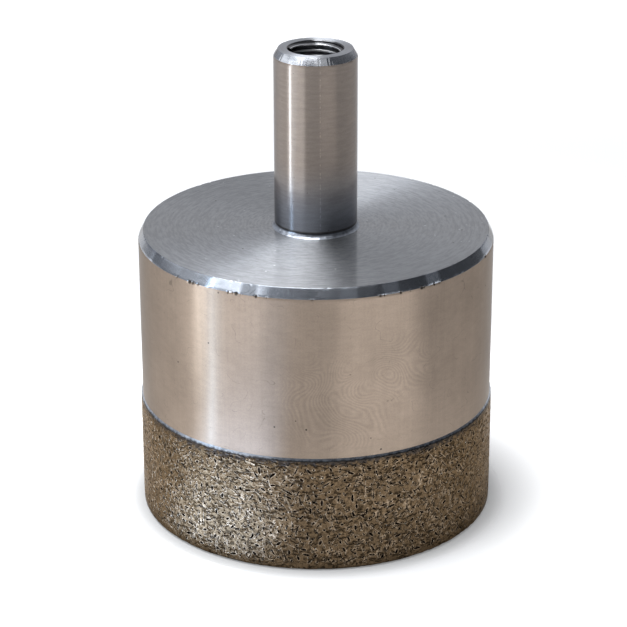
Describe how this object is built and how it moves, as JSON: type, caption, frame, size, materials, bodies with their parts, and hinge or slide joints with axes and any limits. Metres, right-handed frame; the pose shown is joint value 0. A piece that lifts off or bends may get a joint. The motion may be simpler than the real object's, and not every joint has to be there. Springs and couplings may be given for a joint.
{
  "type": "diamond core bit",
  "caption": "Diamond core bit with a turned steel cup, a straight shank with a threaded water inlet, and a sintered diamond crown.",
  "frame": {"origin": "centre of the crown's cutting face, on the bit's axis", "axes": "+Z along the bit's axis, from the cutting face towards the shank; the bit is round, so +X and +Y are free"},
  "size_m": [0.087, 0.087, 0.1155],
  "materials": {
    "shank_steel": "ground, satin",
    "barrel_steel": "turned head with concentric marks, ground side with fine scratches",
    "sintered_crown": "dull bronze bond, pitted all over",
    "silver_braze": "smooth, bright"
  },
  "bodies": {
    "root": {"shank": "shank_steel", "barrel": "barrel_steel", "diamond_crown": "sintered_crown", "crown_braze": "silver_braze", "shank_braze": "silver_braze"}
  },
  "joints": []
}
